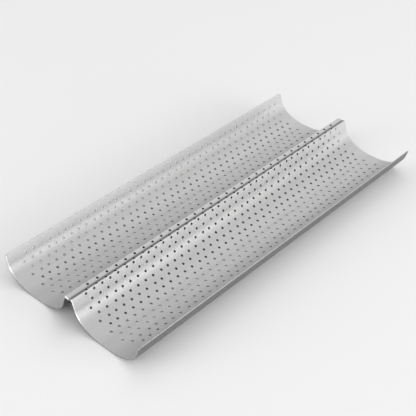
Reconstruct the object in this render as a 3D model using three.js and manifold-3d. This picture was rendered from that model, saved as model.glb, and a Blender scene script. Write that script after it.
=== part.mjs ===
// Two-loaf perforated baguette tray. Two curved sheet troughs stand side by side, and along the middle the
// right trough's flange forms the ridge and laps over the left trough's flange.
// Millimetres, +Z up. X runs across the tray, Y along the loaves, and the tray stands on Z = 0.
import * as THREE from 'three';
import { mergeVertices } from 'three/addons/utils/BufferGeometryUtils.js';
import Module from 'manifold-3d';

const wasm = await Module();
wasm.setup();

const degrees = THREE.MathUtils.degToRad;

// Sheet
const LENGTH = 380;
const SHEET = 0.8;
const LAP_GAP = 0.1;
const RIM_CORNER_RADIUS = 3;

// Trough section, on its inside face, from rim to rim
const WALL_ANGLE = degrees(72);
const WALL_LENGTH = 9.5;
const CORNER_RADIUS = 20;
const BOTTOM_RADIUS = 48;
const BOTTOM_ANGLE = degrees(28);
const FLAT_WIDTH = 8;

// Centre ridge, on its top face. RIDGE_HALF_WIDTH is measured at the height of the outer rims.
const RIDGE_HALF_WIDTH = 4.5;
const RIDGE_RISE = 1.28;
const SHOULDER_RADIUS = 0.85;
const BAND_ANGLE = degrees(20);
const BAND_LENGTH = 1.1;
const GROOVE_RADIUS = 6.1;
const STRIP_ANGLE = degrees(12);
const STRIP_LENGTH = 3.05;
const FOLD_RADIUS = 1.1;
const FLANGE_LENGTH = 3.5;

// Ridge holes: one row along the strip and one, set back by half a pitch, along the band beside the shoulder
const HOLE_RADIUS = 1.15;
const HOLE_SIDES = 10;
const HOLE_COUNT = 32;
const HOLE_PITCH = 10.96;
const STRIP_ROW = { x: -1.9, firstHole: 23.3, tilt: STRIP_ANGLE };
const BAND_ROW = { x: 2.5, firstHole: 17.8, tilt: 0 };

// Largest distance between a bend and the flat facets that stand for it
const FACET_TOLERANCE = 0.08;

const CUTTER_DEPTH = 6;
const CUTTER_MARGIN = 1;

const straight = (length) => ({ length });
const bend = (radius, angle) => ({ radius, angle });

const descent = [
  straight(WALL_LENGTH),
  bend(CORNER_RADIUS, WALL_ANGLE - BOTTOM_ANGLE),
  bend(BOTTOM_RADIUS, BOTTOM_ANGLE),
  straight(FLAT_WIDTH),
  bend(BOTTOM_RADIUS, BOTTOM_ANGLE),
  bend(CORNER_RADIUS, WALL_ANGLE - BOTTOM_ANGLE),
];

const bottomDrop = BOTTOM_RADIUS * (1 - Math.cos(BOTTOM_ANGLE));
const cornerDrop = CORNER_RADIUS * (Math.cos(BOTTOM_ANGLE) - Math.cos(WALL_ANGLE));
const rimHeight = SHEET + bottomDrop + cornerDrop + WALL_LENGTH * Math.sin(WALL_ANGLE);

const bottomHalf = FLAT_WIDTH / 2 + BOTTOM_RADIUS * Math.sin(BOTTOM_ANGLE);
const cornerSpan = CORNER_RADIUS * (Math.sin(WALL_ANGLE) - Math.sin(BOTTOM_ANGLE));
const troughHalfWidth = bottomHalf + cornerSpan + WALL_LENGTH * Math.cos(WALL_ANGLE);
const rimInset = RIDGE_HALF_WIDTH + 2 * troughHalfWidth;

// Follows a sheet from its outer rim towards the ridge and returns both of its faces as lists of [across, up].
// Across is measured from the rim. A positive bend turns the sheet upwards.
function traceSheet(runs) {
  const inside = [];
  const outside = [];
  let across = 0;
  let up = rimHeight;
  let heading = -WALL_ANGLE;
  const mark = () => {
    inside.push([across, up]);
    outside.push([across + SHEET * Math.sin(heading), up - SHEET * Math.cos(heading)]);
  };
  const advance = (distance) => {
    across += distance * Math.cos(heading);
    up += distance * Math.sin(heading);
  };
  mark();
  for (const { length, radius, angle } of runs) {
    if (length) {
      advance(length);
      mark();
      continue;
    }
    const facetAngle = 2 * Math.acos(1 - FACET_TOLERANCE / radius);
    const facets = Math.ceil(Math.abs(angle) / facetAngle);
    const turn = angle / facets;
    for (let i = 0; i < facets; i += 1) {
      heading += turn / 2;
      advance(2 * radius * Math.sin(Math.abs(turn) / 2));
      heading += turn / 2;
      mark();
    }
  }
  return { inside, outside };
}

function rightRuns() {
  const shoulderRise = SHOULDER_RADIUS * (1 - Math.cos(WALL_ANGLE));
  const climb = WALL_LENGTH + (RIDGE_RISE - shoulderRise) / Math.sin(WALL_ANGLE);
  return [
    ...descent,
    straight(climb),
    bend(SHOULDER_RADIUS, -(WALL_ANGLE + BAND_ANGLE)),
    straight(BAND_LENGTH),
    bend(GROOVE_RADIUS, BAND_ANGLE + STRIP_ANGLE),
    straight(STRIP_LENGTH),
  ];
}

function leftRuns(climb) {
  return [
    ...descent,
    straight(climb),
    bend(FOLD_RADIUS, -(WALL_ANGLE + STRIP_ANGLE)),
    straight(FLANGE_LENGTH),
  ];
}

// Height of the left trough's wall at which its flange lies one gap below the strip that laps over it
function climbUnderStrip() {
  const stripEdge = traceSheet(rightRuns()).inside.at(-1);
  const flangeEdge = traceSheet(leftRuns(WALL_LENGTH)).inside.at(-1);
  const stripX = rimInset - stripEdge[0];
  const flangeX = flangeEdge[0] - rimInset;
  const normalX = Math.sin(STRIP_ANGLE);
  const normalZ = Math.cos(STRIP_ANGLE);
  const apart = (stripX - flangeX) * normalX + (stripEdge[1] - flangeEdge[1]) * normalZ;
  return WALL_LENGTH + (apart - SHEET - LAP_GAP) / Math.sin(WALL_ANGLE + STRIP_ANGLE);
}

function solidFrom(geometry) {
  geometry.deleteAttribute('normal');
  geometry.deleteAttribute('uv');
  const merged = mergeVertices(geometry, 1e-5);
  return new wasm.Manifold(new wasm.Mesh({
    numProp: 3,
    vertProperties: new Float32Array(merged.attributes.position.array),
    triVerts: new Uint32Array(merged.index.array),
  }));
}

function geometryFrom(solid) {
  const { vertProperties, triVerts } = solid.getMesh();
  const geometry = new THREE.BufferGeometry();
  geometry.setAttribute('position', new THREE.BufferAttribute(vertProperties, 3));
  geometry.setIndex(new THREE.BufferAttribute(triVerts, 1));
  geometry.computeVertexNormals();
  return geometry;
}

// side is 1 for the right trough and -1 for the left one
function formSheet(runs, side) {
  const { inside, outside } = traceSheet(runs);
  const outline = [...inside, ...outside.reverse()];
  const shape = new THREE.Shape(outline.map(([across, up]) => (
    new THREE.Vector2(side * (rimInset - across), up)
  )));
  const geometry = new THREE.ExtrudeGeometry(shape, { depth: LENGTH, bevelEnabled: false });
  geometry.rotateX(Math.PI / 2);
  geometry.translate(0, LENGTH / 2, 0);
  return solidFrom(geometry);
}

// Takes the sharp corner off the sheet where its outer rim meets an end. end is 1 for the back, -1 for the front.
function rimCornerCutter(side, end) {
  const outline = new THREE.Shape();
  outline.moveTo(-RIM_CORNER_RADIUS, CUTTER_MARGIN);
  outline.lineTo(CUTTER_MARGIN, CUTTER_MARGIN);
  outline.lineTo(CUTTER_MARGIN, -RIM_CORNER_RADIUS);
  outline.lineTo(0, -RIM_CORNER_RADIUS);
  outline.absarc(-RIM_CORNER_RADIUS, -RIM_CORNER_RADIUS, RIM_CORNER_RADIUS, 0, Math.PI / 2, false);
  const geometry = new THREE.ExtrudeGeometry(outline, {
    depth: CUTTER_DEPTH, bevelEnabled: false, curveSegments: 5,
  });
  geometry.translate(0, 0, -CUTTER_DEPTH / 2);
  const along = new THREE.Vector3(0, end, 0);
  const upWall = new THREE.Vector3(side * Math.cos(WALL_ANGLE), 0, Math.sin(WALL_ANGLE));
  const through = new THREE.Vector3().crossVectors(along, upWall);
  const place = new THREE.Matrix4().makeBasis(along, upWall, through);
  place.setPosition(side * rimInset, end * LENGTH / 2, rimHeight);
  geometry.applyMatrix4(place);
  return solidFrom(geometry);
}

function ridgeHoleCutter({ x, firstHole, tilt }, index) {
  const geometry = new THREE.CylinderGeometry(HOLE_RADIUS, HOLE_RADIUS, CUTTER_DEPTH, HOLE_SIDES);
  geometry.rotateX(Math.PI / 2);
  geometry.rotateY(tilt);
  const y = firstHole + index * HOLE_PITCH - LENGTH / 2;
  geometry.translate(x, y, rimHeight + RIDGE_RISE / 2);
  return solidFrom(geometry);
}

function finish(sheet, side, rows) {
  let solid = sheet;
  for (const end of [-1, 1]) {
    solid = solid.subtract(rimCornerCutter(side, end));
  }
  for (const row of rows) {
    for (let i = 0; i < HOLE_COUNT; i += 1) {
      solid = solid.subtract(ridgeHoleCutter(row, i));
    }
  }
  return geometryFrom(solid);
}

function coatedSteel() {
  return new THREE.MeshStandardMaterial({ color: 0xb4b6b8, roughness: 0.42, metalness: 0.65 });
}

function trough(name, geometry) {
  const mesh = new THREE.Mesh(geometry, coatedSteel());
  mesh.name = name;
  return mesh;
}

const leftSheet = formSheet(leftRuns(climbUnderStrip()), -1);
const rightSheet = formSheet(rightRuns(), 1);

const tray = new THREE.Group();
tray.add(trough('left_trough', finish(leftSheet, -1, [STRIP_ROW])));
tray.add(trough('right_trough', finish(rightSheet, 1, [STRIP_ROW, BAND_ROW])));

export default tray;
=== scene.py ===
"""A two-loaf baguette tray: two curved, perforated steel sheets that lap together in a low central ridge.

Lengths are in metres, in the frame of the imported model: X across the tray, Y along the loaves, Z up.
"""

import math

import bpy
import numpy as np
from mathutils import Matrix, Vector


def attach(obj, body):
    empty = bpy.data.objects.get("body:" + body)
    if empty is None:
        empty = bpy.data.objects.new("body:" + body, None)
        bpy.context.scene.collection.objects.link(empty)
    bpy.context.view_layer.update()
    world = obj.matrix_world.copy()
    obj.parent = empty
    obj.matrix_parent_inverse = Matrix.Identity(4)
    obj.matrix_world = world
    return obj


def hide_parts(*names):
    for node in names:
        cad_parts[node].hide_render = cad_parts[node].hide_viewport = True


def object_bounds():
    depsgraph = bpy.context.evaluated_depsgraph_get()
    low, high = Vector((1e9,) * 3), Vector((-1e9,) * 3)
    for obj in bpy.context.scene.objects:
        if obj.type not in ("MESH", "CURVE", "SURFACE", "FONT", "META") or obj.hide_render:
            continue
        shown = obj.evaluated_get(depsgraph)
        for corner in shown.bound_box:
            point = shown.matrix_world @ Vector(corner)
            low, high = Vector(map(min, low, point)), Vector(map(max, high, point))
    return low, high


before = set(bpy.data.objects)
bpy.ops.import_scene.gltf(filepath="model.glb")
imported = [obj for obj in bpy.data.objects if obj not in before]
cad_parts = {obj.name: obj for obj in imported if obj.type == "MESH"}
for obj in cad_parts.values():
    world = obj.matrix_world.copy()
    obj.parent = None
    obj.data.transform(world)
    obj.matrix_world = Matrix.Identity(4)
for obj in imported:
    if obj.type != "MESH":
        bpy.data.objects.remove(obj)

cad_low, cad_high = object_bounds()

MM = 0.001
LENGTH = cad_high.y - cad_low.y
FRONT = cad_low.y

# Sheet
SHEET = 0.8 * MM
LAP_GAP = 0.1 * MM
EDGE_ROUNDING = 0.15 * MM
EDGE_STEPS = 2
RIM_CORNER = 3 * MM
CORNER_STEPS = 6
LARGEST_GAP = 10 * MM

# Trough section, on its inside face, from rim to rim
WALL_ANGLE = math.radians(72)
WALL_LENGTH = 9.5 * MM
CORNER_RADIUS = 20 * MM
BOTTOM_RADIUS = 48 * MM
BOTTOM_ANGLE = math.radians(28)
FLAT_WIDTH = 8 * MM

# Centre ridge, on its top face
SHOULDER_RADIUS = 0.85 * MM
BAND_ANGLE = math.radians(20)
BAND_LENGTH = 1.1 * MM
GROOVE_RADIUS = 6.1 * MM
STRIP_ANGLE = math.radians(12)
STRIP_LENGTH = 3.05 * MM
FOLD_RADIUS = 1.1 * MM
FLANGE_LENGTH = 3.5 * MM

# Perforations. Every sixth hole of a trough's row is off the beat, and the late row starts one hole later.
HOLE_RADIUS = 1.15 * MM
ROW_SPACING = 6.86 * MM
TROUGH_ROWS = 14
HOLE_PITCH = 9.13 * MM
HOLE_COUNT = 39
FIRST_HOLE = 15.5 * MM
OFF_BEAT = 6
OFF_BEAT_SHIFT = 1.1 * MM
LATE_ROW = 10
TOP_ROW_DEPTH = 0.8 * MM

# Ridge perforations: one row on the strip, through both sheets, and one on the band, half a pitch before it
RIDGE_PITCH = 10.96 * MM
RIDGE_COUNT = 32
STRIP_FIRST_HOLE = 23.3 * MM
STRIP_HOLE_ARC = 0.7 * MM
BAND_HOLE_ARC = 0.45 * MM
RIDGE_CELL_HALF = 1.55 * MM

# Mesh of the flat blank. A hole sits in a cell of four by four grid squares, and its ring has a point for
# each of the cell's outer points, the first in the direction RING_START. The regular lines stop at least
# LEAST_SHARE of a step short of the sheet's margins.
CELL_STEPS = 4
HALF_CELL = CELL_STEPS // 2
RING_POINTS = 4 * CELL_STEPS
RING_START = math.radians(225)
SHOULDER_STEPS = 2
GROOVE_STEPS = 3
FOLD_STEPS = 5
LEAST_SHARE = 0.3
POINTS_PER_METRE = 1e7

# Camera
CAMERA_AZIMUTH = math.radians(41.93)
CAMERA_ELEVATION = math.radians(37.0)
CAMERA_ROLL = math.radians(0.60)
CAMERA_DISTANCE = 0.892
CAMERA_TARGET = Vector((0.0002, -0.0196, 0.0269))
CAMERA_LENS = 83.5
SENSOR_WIDTH = 36
CLIP_START = 0.01
CLIP_END = 100

FLOOR_SIZE = 20
FLOOR_GAP = 0.05 * MM
FLOOR_COLOUR = (0.86, 0.86, 0.86, 1)
FLOOR_ROUGHNESS = 0.9

# Light. A soft box is (direction from the tray, side of the square, radiance).
WORLD_COLOUR = (1, 1, 1, 1)
WORLD_BRIGHT_SIDE = (0.65, 0.45, 0.61)
WORLD_LEVEL = 0.66
WORLD_CONTRAST = 0.34
BOX_DISTANCE = 1.6
SOFT_BOXES = {
    "low": ((0.96, 0.25, 0.08), 1.2, 4.5),
    "top": ((-0.24, 0.60, 0.76), 0.8, 0.9),
    "front": ((-0.40, -0.89, 0.22), 1.0, 3.2),
}

# Coated steel
COATING_INSIDE = (0.548, 0.547, 0.546, 1)
# The outside face is darker: painted shade for the face that looks down and away from the light
COATING_OUTSIDE_SHADED = (0.24, 0.239, 0.238, 1)
OUTSIDE_START = 0.3 * SHEET
OUTSIDE_END = 0.7 * SHEET
COATING_METAL = 0.95
COATING_ROUGHNESS = 0.54
ROUGHNESS_RANGE = 0.08
GRAIN_SIZE = 0.7 * MM
GRAIN_DETAIL = 3
GRAIN_NOISE_ROUGHNESS = 0.6
GRAIN_CONTRAST = 0.40
GRAIN_DEPTH = 0.03 * MM
BUMP_STRENGTH = 0.6
CLOUD_SIZE = 14 * MM
CLOUD_DETAIL = 3
CLOUD_CONTRAST = 0.08
STREAK_SIZE = 1.6 * MM
STREAK_STRETCH = 0.04
STREAK_CONTRAST = 0.12

# Coating worn off along the front ends and the rims, partly real wear and partly a painted highlight along
# the edges, and painted shade on the cut faces
# Bright bare steel of worn edges, which is also a painted highlight along them
BARE_STEEL_HIGHLIGHT = (0.90, 0.90, 0.89, 1)
BARE_ROUGHNESS = 0.40
WEAR_START = 0.6 * MM
WEAR_END = 1.3 * MM
WEAR_RAGGED = 0.5 * MM
WEAR_DEPTH = 0.3 * MM
WEAR_AND_HIGHLIGHT_FOOT = 4 * MM
WEAR_AND_HIGHLIGHT_TOP = 14 * MM
TOP_BLEND = 0.5 * MM
SIDE_WEAR_AND_HIGHLIGHT = 0.5
SIDE_WEAR_END = 0.4 * MM
# Painted shade on the cut faces of the holes and edges, lighter on the outside half
CUT_FACE_SHADE = (0.19, 0.188, 0.185, 1)
CUT_FACE_SHADE_OUTSIDE = (0.32, 0.317, 0.313, 1)
CUT_FACE_SHADE_END = 0.16 * MM

# Painted shade along the ridge, between its groove and its shoulder
PAINTED_BAND_PLACE = 1.7 * MM
PAINTED_BAND_REACH = 2.5 * MM
PAINTED_BAND_SHADE = 0.36


def make_camera():
    data = bpy.data.cameras.new("camera")
    data.lens = CAMERA_LENS
    data.sensor_width = SENSOR_WIDTH
    data.clip_start = CLIP_START
    data.clip_end = CLIP_END
    camera = bpy.data.objects.new("camera", data)
    bpy.context.scene.collection.objects.link(camera)
    level = math.cos(CAMERA_ELEVATION)
    back = Vector((
        math.sin(CAMERA_AZIMUTH) * level,
        -math.cos(CAMERA_AZIMUTH) * level,
        math.sin(CAMERA_ELEVATION),
    ))
    level_right = Vector((math.cos(CAMERA_AZIMUTH), math.sin(CAMERA_AZIMUTH), 0))
    level_up = back.cross(level_right)
    right = level_right * math.cos(CAMERA_ROLL) + level_up * math.sin(CAMERA_ROLL)
    up = back.cross(right)
    place = CAMERA_TARGET + back * CAMERA_DISTANCE
    turn = Matrix((right, up, back)).transposed()
    camera.matrix_world = Matrix.Translation(place) @ turn.to_4x4()
    bpy.context.scene.camera = camera


class Section:
    """The inside face of a sheet in section, followed from its outer rim towards the ridge.

    A run is (length, curvature), and a positive curvature turns the sheet upwards.
    """

    def __init__(self, runs, rim_height):
        self.stretches = []
        arc, across, up, heading = 0.0, 0.0, rim_height, -WALL_ANGLE
        for length, curvature in runs:
            self.stretches.append((arc, across, up, heading, curvature))
            across, up, heading = self.follow(length, across, up, heading, curvature)
            arc += length
        self.length = arc
        self.end = (across, up)

    def start(self, run):
        """Distance along the section at which a run starts."""
        return self.stretches[run][0]

    @staticmethod
    def follow(distance, across, up, heading, curvature):
        """Across, up and heading a distance further on, or at each of an array of distances."""
        turned = heading + curvature * distance
        if curvature == 0:
            return across + distance * np.cos(heading), up + distance * np.sin(heading), turned
        return (
            across + (np.sin(turned) - np.sin(heading)) / curvature,
            up - (np.cos(turned) - np.cos(heading)) / curvature,
            turned,
        )

    def at(self, arcs):
        """Across, up and heading at each distance along the section."""
        starts = np.array([self.start(i) for i in range(len(self.stretches))])
        which = np.clip(np.searchsorted(starts, arcs, side="right") - 1, 0, None)
        found = np.zeros((3, len(arcs)))
        for i, (start, across, up, heading, curvature) in enumerate(self.stretches):
            here = which == i
            found[:, here] = self.follow(arcs[here] - start, across, up, heading, curvature)
        return found


def straight(length):
    return length, 0


def bend(radius, angle):
    return radius * abs(angle), math.copysign(1 / radius, angle)


DESCENT = [
    straight(WALL_LENGTH),
    bend(CORNER_RADIUS, WALL_ANGLE - BOTTOM_ANGLE),
    bend(BOTTOM_RADIUS, BOTTOM_ANGLE),
    straight(FLAT_WIDTH),
    bend(BOTTOM_RADIUS, BOTTOM_ANGLE),
    bend(CORNER_RADIUS, WALL_ANGLE - BOTTOM_ANGLE),
]

# Runs after the descent and the climb: shoulder, band, groove and strip on the right sheet, and fold and
# flange on the left one
SHOULDER = len(DESCENT) + 1
BAND = SHOULDER + 1
STRIP = SHOULDER + 3
FOLD = len(DESCENT) + 1

DESCENT_LENGTH = sum(length for length, _ in DESCENT)
CENTRE_ARC = (WALL_LENGTH + DESCENT_LENGTH) / 2

BOTTOM_DROP = BOTTOM_RADIUS * (1 - math.cos(BOTTOM_ANGLE))
CORNER_DROP = CORNER_RADIUS * (math.cos(BOTTOM_ANGLE) - math.cos(WALL_ANGLE))
RIM_HEIGHT = SHEET + BOTTOM_DROP + CORNER_DROP + WALL_LENGTH * math.sin(WALL_ANGLE)
RIDGE_RISE = cad_high.z - RIM_HEIGHT
RIM_INSET = cad_high.x - SHEET * math.sin(WALL_ANGLE)


def right_section():
    shoulder_rise = SHOULDER_RADIUS * (1 - math.cos(WALL_ANGLE))
    climb = WALL_LENGTH + (RIDGE_RISE - shoulder_rise) / math.sin(WALL_ANGLE)
    return Section([
        *DESCENT,
        straight(climb),
        bend(SHOULDER_RADIUS, -(WALL_ANGLE + BAND_ANGLE)),
        straight(BAND_LENGTH),
        bend(GROOVE_RADIUS, BAND_ANGLE + STRIP_ANGLE),
        straight(STRIP_LENGTH),
    ], RIM_HEIGHT)


def left_section(climb):
    return Section([
        *DESCENT,
        straight(climb),
        bend(FOLD_RADIUS, -(WALL_ANGLE + STRIP_ANGLE)),
        straight(FLANGE_LENGTH),
    ], RIM_HEIGHT)


def climb_under(strip):
    """Length of the left trough's wall at which its flange lies one gap below the strip."""
    strip_across, strip_up = strip.end
    flange_across, flange_up = left_section(WALL_LENGTH).end
    strip_x = RIM_INSET - strip_across
    flange_x = flange_across - RIM_INSET
    apart = (strip_x - flange_x) * math.sin(STRIP_ANGLE) + (strip_up - flange_up) * math.cos(STRIP_ANGLE)
    return WALL_LENGTH + (apart - SHEET - LAP_GAP) / math.sin(WALL_ANGLE + STRIP_ANGLE)


class Blank:
    """The flat sheet before it was formed: points (arc, along) and the faces between them.

    Arc runs across the sheet from its outer rim, and along runs from its front end.
    """

    def __init__(self):
        self.points = []
        self.hole_gaps = []
        self.on_hole = []
        self.faces = []
        self.found = {}

    def point(self, arc, along, hole_gap=math.inf, on_hole=False):
        """The index of the point at this place, which is added where it is new."""
        key = (round(arc * POINTS_PER_METRE), round(along * POINTS_PER_METRE))
        if key not in self.found:
            self.found[key] = len(self.points)
            self.points.append((arc, along))
            self.hole_gaps.append(hole_gap)
            self.on_hole.append(on_hole)
        index = self.found[key]
        self.hole_gaps[index] = min(self.hole_gaps[index], hole_gap)
        return index

    def cell(self, arcs, alongs, centre):
        """The piece of sheet round one hole, between the grid lines of its cell."""
        outline = [(a, alongs[0]) for a in arcs[:-1]]
        outline += [(arcs[-1], b) for b in alongs[:-1]]
        outline += [(a, alongs[-1]) for a in arcs[:0:-1]]
        outline += [(arcs[0], b) for b in alongs[:0:-1]]
        radius = HOLE_RADIUS + EDGE_ROUNDING
        border = []
        ring = []
        for i, (arc, along) in enumerate(outline):
            gap = math.hypot(arc - centre[0], along - centre[1]) - HOLE_RADIUS
            border.append(self.point(arc, along, gap))
            turn = RING_START + 2 * math.pi * i / RING_POINTS
            near = (centre[0] + radius * math.cos(turn), centre[1] + radius * math.sin(turn))
            ring.append(self.point(*near, EDGE_ROUNDING, on_hole=True))
        for i in range(RING_POINTS):
            j = (i + 1) % RING_POINTS
            self.faces.append((border[i], border[j], ring[j], ring[i]))

    def grid(self, arcs, alongs, rows, corners):
        """Plain sheet and rows of holes between the grid lines.

        A row is (first arc line, centre's arc, [(first along line, centre's along), ...]). corners are the
        (arc line, along line) squares at the sheet's corners, which corner() fills.
        """
        taken = set(corners)
        for first_arc, centre_arc, holes in rows:
            for first_along, centre_along in holes:
                cell_arcs = arcs[first_arc:first_arc + CELL_STEPS + 1]
                cell_alongs = alongs[first_along:first_along + CELL_STEPS + 1]
                self.cell(cell_arcs, cell_alongs, (centre_arc, centre_along))
                for i in range(CELL_STEPS):
                    taken.update((first_arc + i, first_along + j) for j in range(CELL_STEPS))
        for i in range(len(arcs) - 1):
            for j in range(len(alongs) - 1):
                if (i, j) not in taken:
                    self.faces.append((
                        self.point(arcs[i], alongs[j]),
                        self.point(arcs[i + 1], alongs[j]),
                        self.point(arcs[i + 1], alongs[j + 1]),
                        self.point(arcs[i], alongs[j + 1]),
                    ))

    def corner(self, centre, start, radius):
        """A quarter disc at a corner of the sheet, from the direction start, anticlockwise."""
        hub = self.point(*centre)
        arc = []
        for i in range(CORNER_STEPS + 1):
            turn = start + math.pi / 2 * i / CORNER_STEPS
            arc.append(self.point(centre[0] + radius * math.cos(turn), centre[1] + radius * math.sin(turn)))
        for i in range(CORNER_STEPS):
            self.faces.append((hub, arc[i], arc[i + 1]))

    def zip(self, near_arc, near_alongs, far_arc, far_alongs):
        """Joins two neighbouring grids whose lines are spaced differently along the sheet."""
        i, j = 0, 0
        while i < len(near_alongs) - 1 or j < len(far_alongs) - 1:
            near = self.point(near_arc, near_alongs[i])
            far = self.point(far_arc, far_alongs[j])
            at_end = j == len(far_alongs) - 1
            if at_end or (i < len(near_alongs) - 1 and near_alongs[i + 1] <= far_alongs[j + 1]):
                i += 1
                self.faces.append((near, far, self.point(near_arc, near_alongs[i])))
            else:
                j += 1
                self.faces.append((near, far, self.point(far_arc, far_alongs[j])))


def grid_lines(first_centre, pitch, margin):
    """Lines a quarter of the holes' pitch apart, with one at each end and one a margin in from it.

    Returns them, and the first hole's line.
    """
    step = pitch / CELL_STEPS
    before = int((first_centre - margin) / step - LEAST_SHARE)
    after = int((LENGTH - margin - first_centre) / step - LEAST_SHARE)
    regular = [first_centre + step * i for i in range(-before, after + 1)]
    front = [EDGE_ROUNDING, margin]
    back = [LENGTH - margin, LENGTH - EDGE_ROUNDING]
    return [*front, *regular, *back], len(front) + before


def trough_rows(hole_rows, centre_line):
    """Rows of the trough's lattice: hole_rows holds (lattice number, first arc line, centre's arc).

    Odd rows are half a pitch further from the front end.
    """
    rows = []
    for number, line, arc in hole_rows:
        holes = []
        for i in range(1 if number == LATE_ROW else 0, HOLE_COUNT):
            steps = CELL_STEPS * i + HALF_CELL * (number % 2)
            shift = OFF_BEAT_SHIFT if (i + number) % OFF_BEAT == OFF_BEAT - 1 else 0
            along = FIRST_HOLE + HOLE_PITCH * steps / CELL_STEPS + shift
            holes.append((centre_line + steps - HALF_CELL, along))
        rows.append((line, arc, holes))
    return rows


def ridge_row(line, arc, centre_line, half_pitches):
    """A row of the ridge's holes that starts a number of half pitches behind the strip's first hole."""
    holes = []
    for i in range(RIDGE_COUNT):
        steps = CELL_STEPS * i + HALF_CELL * half_pitches
        along = STRIP_FIRST_HOLE + RIDGE_PITCH * steps / CELL_STEPS
        holes.append((centre_line + steps - HALF_CELL, along))
    return line, arc, holes


def evenly(start, end, steps):
    return [start + (end - start) * i / steps for i in range(steps + 1)]


def trough_grid(blank, side, wall_end=None):
    """The sheet from its outer rim to the last of the trough's holes. Returns its last arc and along lines.

    Where wall_end is given, one more row of holes lies between the lattice and that arc.
    """
    half = TROUGH_ROWS * ROW_SPACING / 2
    start = CENTRE_ARC - half
    end = CENTRE_ARC + half
    rim_arcs = [EDGE_ROUNDING, RIM_CORNER]
    arcs = [*rim_arcs, *evenly(start, end, CELL_STEPS * TROUGH_ROWS)]
    alongs, centre_line = grid_lines(FIRST_HOLE, HOLE_PITCH, RIM_CORNER)
    hole_rows = []
    for i in range(TROUGH_ROWS):
        number = i + 1 if side < 0 else TROUGH_ROWS - i
        hole_rows.append((number, len(rim_arcs) + CELL_STEPS * i, start + ROW_SPACING * (i + 0.5)))
    if wall_end is not None:
        rim_arc = DESCENT_LENGTH + WALL_LENGTH
        hole_rows.append((0, len(arcs) - 1, rim_arc - TOP_ROW_DEPTH))
        arcs += evenly(end, wall_end, CELL_STEPS)[1:]
    rows = trough_rows(hole_rows, centre_line)
    blank.grid(arcs, alongs, rows, [(0, 0), (0, len(alongs) - 2)])
    blank.corner((RIM_CORNER, RIM_CORNER), math.pi, RIM_CORNER - EDGE_ROUNDING)
    blank.corner((RIM_CORNER, LENGTH - RIM_CORNER), math.pi / 2, RIM_CORNER - EDGE_ROUNDING)
    return arcs[-1], alongs


def ridge_grid(blank, arcs, rows, last_arc, last_alongs, edge):
    """The sheet over the ridge, from the last line of the trough's grid to the free edge.

    A row is (first arc line, centre's arc, half pitches behind the strip's row).
    """
    margin = edge - arcs[-1]
    alongs, centre_line = grid_lines(STRIP_FIRST_HOLE, RIDGE_PITCH, margin)
    arcs = [*arcs, edge - EDGE_ROUNDING]
    last = len(arcs) - 2
    rows = [ridge_row(line, arc, centre_line, offset) for line, arc, offset in rows]
    blank.zip(last_arc, last_alongs, arcs[0], alongs)
    blank.grid(arcs, alongs, rows, [(last, 0), (last, len(alongs) - 2)])
    blank.corner((edge - margin, margin), -math.pi / 2, margin - EDGE_ROUNDING)
    blank.corner((edge - margin, LENGTH - margin), 0, margin - EDGE_ROUNDING)


def right_blank(section):
    shoulder = section.start(SHOULDER)
    band_hole = section.start(BAND) + BAND_HOLE_ARC
    strip_hole = section.start(STRIP) + STRIP_HOLE_ARC
    band_cell = band_hole - RIDGE_CELL_HALF
    strip_cell = strip_hole - RIDGE_CELL_HALF
    arcs = evenly(shoulder, band_cell, SHOULDER_STEPS)[1:]
    rows = [(len(arcs) - 1, band_hole, -1)]
    arcs += evenly(band_cell, band_hole + RIDGE_CELL_HALF, CELL_STEPS)[1:]
    arcs += evenly(band_hole + RIDGE_CELL_HALF, strip_cell, GROOVE_STEPS)[1:]
    rows.append((len(arcs) - 1, strip_hole, 0))
    arcs += evenly(strip_cell, strip_hole + RIDGE_CELL_HALF, CELL_STEPS)[1:]
    blank = Blank()
    last_arc, last_alongs = trough_grid(blank, 1, shoulder)
    ridge_grid(blank, arcs, rows, last_arc, last_alongs, section.length)
    return blank


def left_blank(section, right_sheet):
    """The left blank, whose flange has its holes straight below those of the right sheet's strip."""
    strip_hole = right_sheet.start(STRIP) + STRIP_HOLE_ARC
    strip_across = right_sheet.at(np.array([strip_hole]))[0, 0]
    hole_x = RIM_INSET - strip_across - (SHEET + LAP_GAP) * math.sin(STRIP_ANGLE)
    end_x = section.end[0] - RIM_INSET
    hole = section.length - (end_x - hole_x) / math.cos(STRIP_ANGLE)
    cell = hole - RIDGE_CELL_HALF
    arcs = evenly(section.start(FOLD), cell, FOLD_STEPS)
    rows = [(len(arcs) - 1, hole, 0)]
    arcs += evenly(cell, hole + RIDGE_CELL_HALF, CELL_STEPS)[1:]
    blank = Blank()
    last_arc, last_alongs = trough_grid(blank, -1)
    ridge_grid(blank, arcs, rows, last_arc, last_alongs, section.length)
    return blank


def open_edges(faces):
    """The edges that only one face uses, as a dictionary from each one's first point to its second."""
    edges = set()
    for face in faces:
        for first, second in zip(face, face[1:] + face[:1]):
            if (second, first) in edges:
                edges.remove((second, first))
            else:
                edges.add((first, second))
    return dict(edges)


def unit(vectors):
    return vectors / np.linalg.norm(vectors, axis=-1, keepdims=True)


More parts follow.
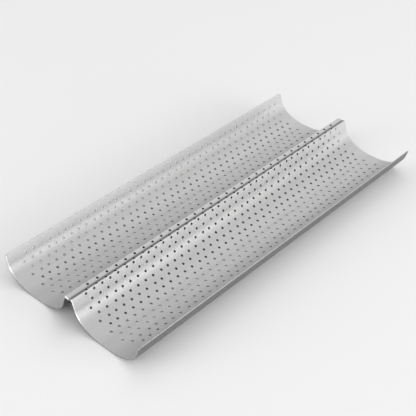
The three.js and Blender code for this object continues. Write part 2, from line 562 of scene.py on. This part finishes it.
class FormedSheet:
    """A blank bent along its section and given its thickness.

    side is 1 for the right trough and -1 for the left one.
    """

    def __init__(self, blank, section, side):
        self.section = section
        self.side = side
        self.flat = np.array(blank.points)
        self.places = []
        self.normals = []
        self.hole_gaps = []
        self.front_gaps = []
        self.side_gaps = []
        self.depths = []
        self.count = 0
        hole_gaps = np.array(blank.hole_gaps)
        no_lean = np.zeros((len(self.flat), 2))
        top = self.add(self.flat, no_lean, 0, 0, hole_gaps)
        under = self.add(self.flat, no_lean, SHEET, math.pi, hole_gaps)
        self.faces = []
        for face in blank.faces:
            self.faces.append(tuple(top[i] for i in self.facing(face)))
            self.faces.append(tuple(under[i] for i in reversed(self.facing(face))))
        self.round_edges(blank, top, under)

    def facing(self, face):
        return face if self.side < 0 else face[::-1]

    def add(self, flat, lean, depth, turn, hole_gaps):
        """Points at a depth below the inside face, with normals turned from its own towards lean."""
        across, up, heading = self.section.at(flat[:, 0])
        sine, cosine = np.sin(heading), np.cos(heading)
        side = self.side
        zero = np.zeros(len(flat))
        inward = np.stack([side * sine, zero, cosine], 1)
        towards_ridge = np.stack([-side * cosine, zero, sine], 1)
        back = np.array([[0.0, 1.0, 0.0]])
        sideways = lean[:, :1] * towards_ridge + lean[:, 1:] * back
        place = np.stack([side * (RIM_INSET - across), FRONT + flat[:, 1], up], 1) - depth * inward
        self.places.append(place)
        self.normals.append(unit(math.cos(turn) * inward + math.sin(turn) * sideways))
        self.hole_gaps.append(hole_gaps)
        self.front_gaps.append(flat[:, 1])
        other_edges = np.stack([flat[:, 0], self.section.length - flat[:, 0], LENGTH - flat[:, 1]])
        self.side_gaps.append(other_edges.min(0))
        self.depths.append(np.full(len(flat), depth))
        first = self.count
        self.count += len(flat)
        return range(first, self.count)

    def round_edges(self, blank, top, under):
        """Closes the sheet round its border and its holes, with every edge rounded over."""
        after = open_edges(blank.faces)
        before = {second: first for first, second in after.items()}
        border = np.array(sorted(after))
        following = np.array([after[i] for i in border])
        leading = np.array([before[i] for i in border])
        on_hole = np.array(blank.on_hole)[border]
        lean_out = unit(self.outward(border, following) + self.outward(leading, border))
        reach = 1 / (lean_out * self.outward(border, following)).sum(1, keepdims=True)
        rank = {point: i for i, point in enumerate(border)}
        gaps = np.where(on_hole, 0.0, np.array(blank.hole_gaps)[border])
        rings = [[top[i] for i in border]]
        for turn, depth in self.edge_turns():
            flat = self.flat[border] + lean_out * reach * EDGE_ROUNDING * math.sin(turn)
            rings.append(self.add(flat, lean_out, depth, turn, gaps))
        rings.append([under[i] for i in border])
        for near, far in zip(rings, rings[1:]):
            for i, point in enumerate(border):
                j = rank[after[point]]
                self.faces.append(self.facing((near[j], near[i], far[i], far[j])))

    @staticmethod
    def edge_turns():
        """How far the normal has turned, and the depth, at each line round a cut edge."""
        quarter = [math.pi / 2 * i / EDGE_STEPS for i in range(1, EDGE_STEPS + 1)]
        upper = [(turn, EDGE_ROUNDING * (1 - math.cos(turn))) for turn in quarter]
        lower = [(math.pi - turn, SHEET - depth) for turn, depth in reversed(upper)]
        return upper + lower

    def outward(self, first, second):
        """Away from the sheet, across the edges from first to second, on the flat blank."""
        run = self.flat[second] - self.flat[first]
        return unit(np.stack([run[:, 1], -run[:, 0]], 1))

    def piece(self, name, node):
        mesh = bpy.data.meshes.new(name)
        mesh.from_pydata(np.concatenate(self.places).tolist(), [], self.faces)
        mesh.shade_smooth()
        mesh.normals_split_custom_set_from_vertices(np.concatenate(self.normals).tolist())
        for label, lengths in (
            ("hole_gap", self.hole_gaps),
            ("front_gap", self.front_gaps),
            ("side_gap", self.side_gaps),
            ("depth", self.depths),
        ):
            values = np.clip(np.concatenate(lengths), 0, LARGEST_GAP).astype(np.float32)
            mesh.attributes.new(label, "FLOAT", "POINT").data.foreach_set("value", values)
        piece = bpy.data.objects.new(name, mesh)
        bpy.context.scene.collection.objects.link(piece)
        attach(piece, "root")
        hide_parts(node)
        return piece


class Nodes:
    """Short ways to add and join shader nodes."""

    def __init__(self, tree):
        self.tree = tree

    def add(self, kind, **settings):
        node = self.tree.nodes.new(kind)
        for name, value in settings.items():
            setattr(node, name, value)
        return node

    def put(self, socket, value):
        if isinstance(value, bpy.types.NodeSocket):
            self.tree.links.new(value, socket)
        else:
            socket.default_value = value

    def math(self, operation, first, second=0.0, third=0.0):
        node = self.add("ShaderNodeMath", operation=operation)
        for socket, value in zip(node.inputs, (first, second, third)):
            self.put(socket, value)
        return node.outputs["Value"]

    def ramp(self, value, start, end, low=0.0, high=1.0):
        """A smooth change from low at start to high at end, level on either side."""
        node = self.add("ShaderNodeMapRange", interpolation_type="SMOOTHSTEP")
        for socket, given in zip(node.inputs, (value, start, end, low, high)):
            self.put(socket, given)
        return node.outputs["Result"]

    def noise(self, vector, size, detail=2, roughness=0.5):
        """Noise from 0 to 1 whose features are about size across."""
        node = self.add("ShaderNodeTexNoise")
        self.put(node.inputs["Vector"], vector)
        self.put(node.inputs["Scale"], 1 / size)
        self.put(node.inputs["Detail"], detail)
        self.put(node.inputs["Roughness"], roughness)
        return node.outputs["Fac"]

    def stretched(self, vector, stretch):
        """The coordinates scaled along each axis."""
        node = self.add("ShaderNodeVectorMath", operation="MULTIPLY")
        self.put(node.inputs[0], vector)
        self.put(node.inputs[1], stretch)
        return node.outputs["Vector"]

    def scaled(self, colour, factor):
        """The colour made lighter or darker by a factor."""
        node = self.add("ShaderNodeVectorMath", operation="SCALE")
        self.put(node.inputs["Vector"], colour)
        self.put(node.inputs["Scale"], factor)
        return node.outputs["Vector"]

    def mix(self, share, first, second):
        node = self.add("ShaderNodeMix", data_type="RGBA")
        self.put(node.inputs["Factor"], share)
        self.put(node.inputs["A"], first)
        self.put(node.inputs["B"], second)
        return node.outputs["Result"]

    def separate(self, vector):
        node = self.add("ShaderNodeSeparateXYZ")
        self.put(node.inputs["Vector"], vector)
        return node.outputs

    def attribute(self, name):
        return self.add("ShaderNodeAttribute", attribute_name=name).outputs["Fac"]


def varied_shade(nodes, grain, cloud, streaks):
    """A factor near 1 by which the coating is lighter or darker."""
    shade = nodes.math("MULTIPLY_ADD", grain, GRAIN_CONTRAST, 1 - GRAIN_CONTRAST / 2)
    for noise, contrast in ((cloud, CLOUD_CONTRAST), (streaks, STREAK_CONTRAST)):
        level = nodes.math("SUBTRACT", shade, contrast / 2)
        shade = nodes.math("MULTIPLY_ADD", noise, contrast, level)
    return shade


def wear_and_highlight_share(nodes, front_gap, side_gap, depth, height, cloud, on_top):
    """How far the coating is worn off, from 0 to 1: along the front ends, the rims and the ridge; the
    bright bare steel there is partly wear and partly a painted highlight.
    """
    ragged = nodes.math("MULTIPLY_ADD", cloud, WEAR_RAGGED, -WEAR_RAGGED / 2)
    front_wear_highlight = nodes.ramp(nodes.math("ADD", front_gap, ragged), WEAR_END, WEAR_START)
    rim_wear_highlight = nodes.ramp(side_gap, SIDE_WEAR_END, 0, 0, SIDE_WEAR_AND_HIGHLIGHT)
    exposed = nodes.math("MAXIMUM", on_top, nodes.ramp(depth, WEAR_DEPTH, 0))
    raised = nodes.ramp(height, WEAR_AND_HIGHLIGHT_FOOT, WEAR_AND_HIGHLIGHT_TOP)
    wear_and_highlight = nodes.math("MULTIPLY", nodes.math("MAXIMUM", front_wear_highlight, rim_wear_highlight), exposed)
    return nodes.math("MULTIPLY", wear_and_highlight, raised)


def painted_band_shade(nodes, across, on_top):
    """A factor of 1 that falls to the band's shade factor along the middle of the ridge's band of painted
    shade.
    """
    from_band_middle = nodes.math("ABSOLUTE", nodes.math("SUBTRACT", across, PAINTED_BAND_PLACE))
    band_darkening = nodes.math("MULTIPLY", on_top, nodes.ramp(from_band_middle, PAINTED_BAND_REACH, 0, 0, 1 - PAINTED_BAND_SHADE))
    return nodes.math("SUBTRACT", 1, band_darkening)


def coated_steel():
    """Satin silver coating with a fine grain, with painted shade on the outside face and on the cut faces.

    It is worn bright along the front ends and the rims, which is partly wear and partly a painted
    highlight, and a band of painted shade lies along the ridge.
    """
    material = bpy.data.materials.new("coated_steel")
    material.use_nodes = True
    nodes = Nodes(material.node_tree)
    shader = material.node_tree.nodes["Principled BSDF"]
    place = nodes.add("ShaderNodeTexCoord").outputs["Object"]
    across, _, height = nodes.separate(place)
    hole_gap = nodes.attribute("hole_gap")
    front_gap = nodes.attribute("front_gap")
    side_gap = nodes.attribute("side_gap")
    depth = nodes.attribute("depth")

    grain = nodes.noise(place, GRAIN_SIZE, GRAIN_DETAIL, GRAIN_NOISE_ROUGHNESS)
    cloud = nodes.noise(place, CLOUD_SIZE, CLOUD_DETAIL)
    streaks = nodes.noise(nodes.stretched(place, (1, STREAK_STRETCH, 1)), STREAK_SIZE)
    outside = nodes.ramp(depth, OUTSIDE_START, OUTSIDE_END)
    on_top = nodes.ramp(height, RIM_HEIGHT - TOP_BLEND, RIM_HEIGHT)

    # The outside face is mixed to a darker colour: painted shade
    colour = nodes.mix(outside, COATING_INSIDE, COATING_OUTSIDE_SHADED)
    colour = nodes.scaled(colour, varied_shade(nodes, grain, cloud, streaks))
    # Cut faces of holes and edges are darkened: painted shade
    cut_face_shade = nodes.mix(outside, CUT_FACE_SHADE, CUT_FACE_SHADE_OUTSIDE)
    cut_gap = nodes.math("MINIMUM", hole_gap, nodes.math("MINIMUM", front_gap, side_gap))
    colour = nodes.mix(nodes.ramp(cut_gap, CUT_FACE_SHADE_END, 0), colour, cut_face_shade)
    wear_and_highlight = wear_and_highlight_share(nodes, front_gap, side_gap, depth, height, cloud, on_top)
    # Bright bare steel along the front ends and rims: partly wear, partly a painted highlight
    colour = nodes.mix(wear_and_highlight, colour, BARE_STEEL_HIGHLIGHT)
    # Painted shade along the ridge, between its groove and its shoulder
    colour = nodes.scaled(colour, painted_band_shade(nodes, across, on_top))
    nodes.put(shader.inputs["Base Color"], colour)

    rough = nodes.math("MULTIPLY_ADD", cloud, ROUGHNESS_RANGE, COATING_ROUGHNESS - ROUGHNESS_RANGE / 2)
    rough = nodes.math("MULTIPLY_ADD", wear_and_highlight, BARE_ROUGHNESS - COATING_ROUGHNESS, rough)
    nodes.put(shader.inputs["Roughness"], rough)
    nodes.put(shader.inputs["Metallic"], COATING_METAL)

    bump = nodes.add("ShaderNodeBump")
    nodes.put(bump.inputs["Strength"], BUMP_STRENGTH)
    nodes.put(bump.inputs["Distance"], GRAIN_DEPTH)
    nodes.put(bump.inputs["Height"], grain)
    nodes.put(shader.inputs["Normal"], bump.outputs["Normal"])
    return material


def make_floor():
    half = FLOOR_SIZE / 2
    mesh = bpy.data.meshes.new("floor")
    corners = [(-half, -half, 0), (half, -half, 0), (half, half, 0), (-half, half, 0)]
    mesh.from_pydata(corners, [], [(0, 1, 2, 3)])
    floor = bpy.data.objects.new("floor", mesh)
    floor.location.z = -FLOOR_GAP
    bpy.context.scene.collection.objects.link(floor)
    material = bpy.data.materials.new("floor")
    material.use_nodes = True
    shader = material.node_tree.nodes["Principled BSDF"]
    shader.inputs["Base Color"].default_value = FLOOR_COLOUR
    shader.inputs["Roughness"].default_value = FLOOR_ROUGHNESS
    mesh.materials.append(material)


def soft_box(name, direction, size, radiance):
    """A square area light of a given radiance that faces the tray from a direction."""
    data = bpy.data.lights.new(name, "AREA")
    data.shape = "SQUARE"
    data.size = size
    data.energy = radiance * math.pi * size * size
    light = bpy.data.objects.new(name, data)
    light.location = Vector(direction).normalized() * BOX_DISTANCE
    light.rotation_mode = "QUATERNION"
    light.rotation_quaternion = Vector(direction).to_track_quat("Z", "Y")
    bpy.context.scene.collection.objects.link(light)


def make_world():
    """Soft light from all round, brighter towards one side."""
    world = bpy.data.worlds.new("studio")
    world.use_nodes = True
    nodes = Nodes(world.node_tree)
    direction = nodes.add("ShaderNodeTexCoord").outputs["Generated"]
    facing = nodes.add("ShaderNodeVectorMath", operation="DOT_PRODUCT")
    nodes.put(facing.inputs[0], direction)
    nodes.put(facing.inputs[1], Vector(WORLD_BRIGHT_SIDE).normalized())
    level = nodes.math("MULTIPLY_ADD", facing.outputs["Value"], WORLD_CONTRAST, WORLD_LEVEL)
    background = world.node_tree.nodes["Background"]
    nodes.put(background.inputs["Strength"], level)
    nodes.put(background.inputs["Color"], WORLD_COLOUR)
    bpy.context.scene.world = world


make_camera()
make_world()
make_floor()
for name, (direction, size, radiance) in SOFT_BOXES.items():
    soft_box(name, direction, size, radiance)
bpy.context.scene.view_settings.view_transform = "Standard"

right_sheet = right_section()
left_sheet = left_section(climb_under(right_sheet))
steel = coated_steel()
for name, blank, section, side in (
    ("left_trough", left_blank(left_sheet, right_sheet), left_sheet, -1),
    ("right_trough", right_blank(right_sheet), right_sheet, 1),
):
    piece = FormedSheet(blank, section, side).piece(name + "_sheet", name)
    piece.data.materials.append(steel)
